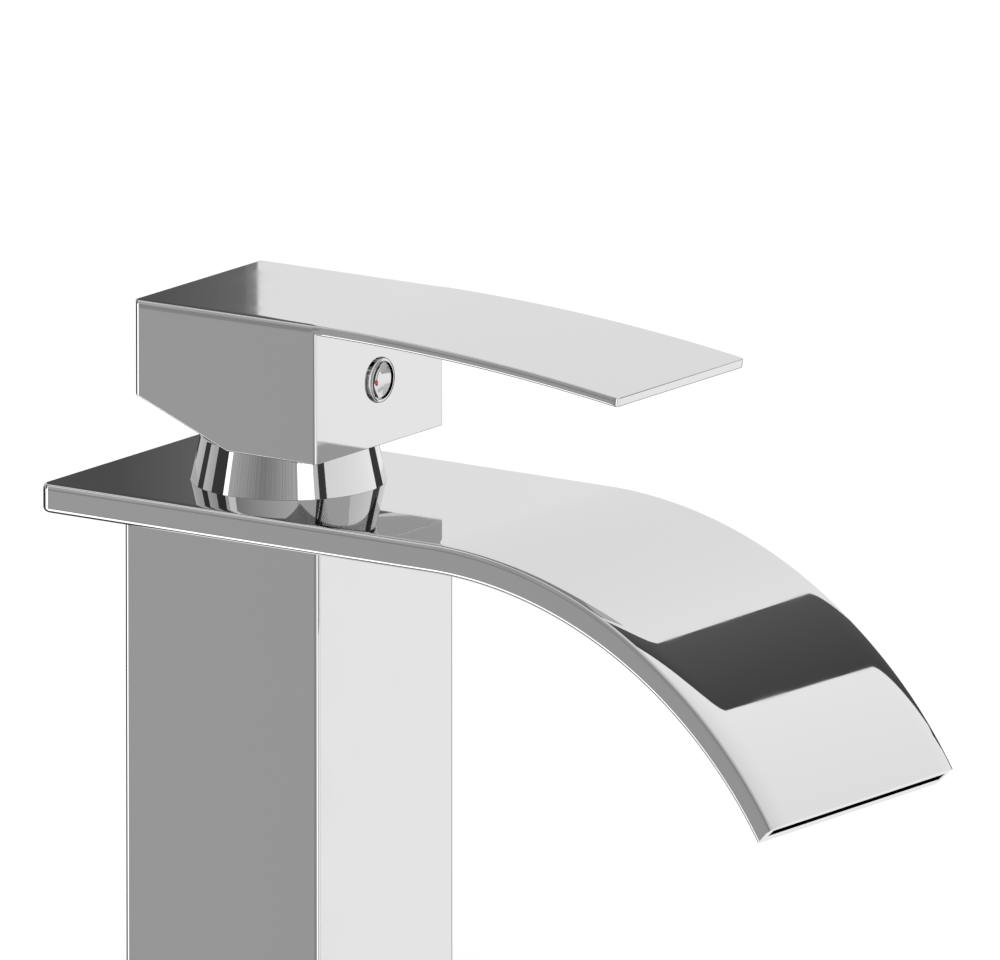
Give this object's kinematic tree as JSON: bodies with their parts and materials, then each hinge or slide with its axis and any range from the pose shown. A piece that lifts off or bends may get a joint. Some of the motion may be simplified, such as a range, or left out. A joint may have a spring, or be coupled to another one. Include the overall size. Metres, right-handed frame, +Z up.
{
  "type": "basin mixer tap",
  "caption": "Deck-mounted basin mixer tap: square column, wide flat spout that curves down to a slot, and a flat lever on a square block that lifts to open and turns to mix.",
  "frame": {"origin": "centre of the column's foot, on the face that rests on the deck", "axes": "+Z up along the column, the spout and the lever point along -Y, +X to the right of someone who looks along +Y from the spout's side"},
  "size_m": [0.0654, 0.1835, 0.2293],
  "materials": {
    "chromed_brass": "polished",
    "chromed_zinc": "polished",
    "red_enamel": "gloss",
    "black_rubber": "matte",
    "turned_brass": "satin",
    "white_acetal": "satin",
    "blue_acetal": "satin",
    "alumina": "satin",
    "turned_steel": "satin",
    "black_steel": "satin"
  },
  "bodies": {
    "fixed": {"body_column": "chromed_brass", "spout_shell": "chromed_brass", "cone_cover": "chromed_brass", "cover_o_ring": "black_rubber", "retaining_nut": "turned_brass", "cartridge_housing": "white_acetal", "cartridge_base": "blue_acetal", "port_seals": "black_rubber", "disc_seal": "black_rubber", "fixed_disc": "alumina", "base_gasket": "black_rubber", "fixing_stud": "turned_brass", "clamp_gasket": "black_rubber", "clamp_washer": "turned_steel", "fixing_nut": "turned_brass"},
    "swivel": {"stem_sleeve": "blue_acetal", "pivot_pin": "turned_steel"},
    "lever": {"lever_stem": "turned_steel", "handle": "chromed_zinc", "grub_screw": "black_steel", "index_plug": "chromed_zinc", "index_mark": "red_enamel"},
    "disc": {"moving_disc": "alumina", "disc_carrier": "white_acetal"}
  },
  "joints": [
    {"name": "lever_swivel", "type": "hinge", "parent": "fixed", "child": "swivel", "pos_m": [0, 0, 0.146], "axis": [0, 0, 1], "range_deg": [-45, 45]},
    {"name": "lever_tilt", "type": "hinge", "parent": "swivel", "child": "lever", "pos_m": [0, 0, 0.146], "axis": [-1, 0, 0], "range_deg": [0, 20]},
    {"name": "disc_slide", "type": "slide", "parent": "swivel", "child": "disc", "axis": [0, -1, 0], "range_m": [0, 0.0035]}
  ],
  "couplings": [
    {"joint": "disc_slide", "follows": "lever_tilt", "m_per_rad": 0.01}
  ]
}
